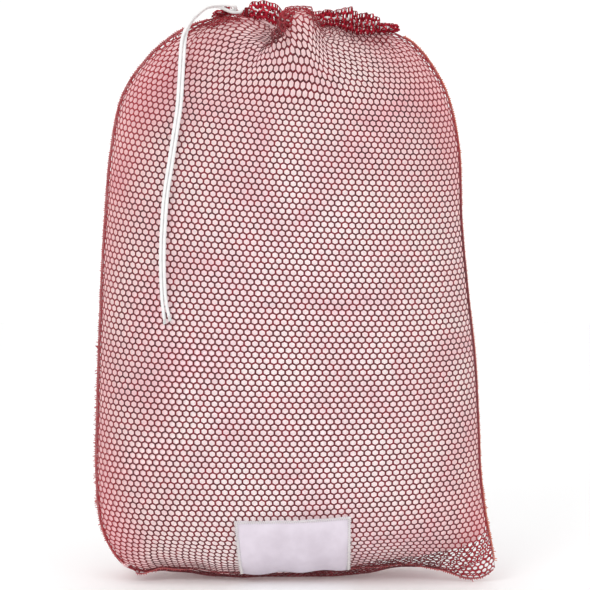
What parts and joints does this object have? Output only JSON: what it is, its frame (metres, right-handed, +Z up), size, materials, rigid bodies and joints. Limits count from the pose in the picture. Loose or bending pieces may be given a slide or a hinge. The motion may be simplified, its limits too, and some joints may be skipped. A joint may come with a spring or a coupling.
{
  "type": "mesh laundry bag",
  "caption": "Open-net drawstring laundry bag, filled and standing, with a gathered hem, two free cord ends and a blank cloth label at the foot.",
  "frame": {"origin": "on the floor, at the middle of the bag's box, drawcord ends left out", "axes": "+Z up to the mouth, -Y out of the front panel with the label, +X to the right seam seen from the front"},
  "size_m": [0.5637, 0.2075, 0.7964],
  "materials": {
    "net": "crimson knitted polyester net, slight yarn sheen",
    "red_thread": "dark crimson overlock and lock-stitch thread",
    "white_cord": "white braided polyester cord",
    "label_cloth": "plain white woven cloth with a cool tint",
    "white_thread": "cream zigzag thread"
  },
  "bodies": {
    "root": {"front_panel": "net", "back_panel": "net", "hem_casing": "net", "left_seam_overlock": "red_thread", "right_seam_overlock": "red_thread", "bottom_seam_overlock": "red_thread", "hem_stitching": "red_thread", "exit_bartack_left": "red_thread", "exit_bartack_right": "red_thread", "drawcord_in_hem": "white_cord", "drawcord_tail_left": "white_cord", "drawcord_tail_right": "white_cord", "identity_patch": "label_cloth", "patch_stitching": "white_thread"}
  },
  "joints": []
}
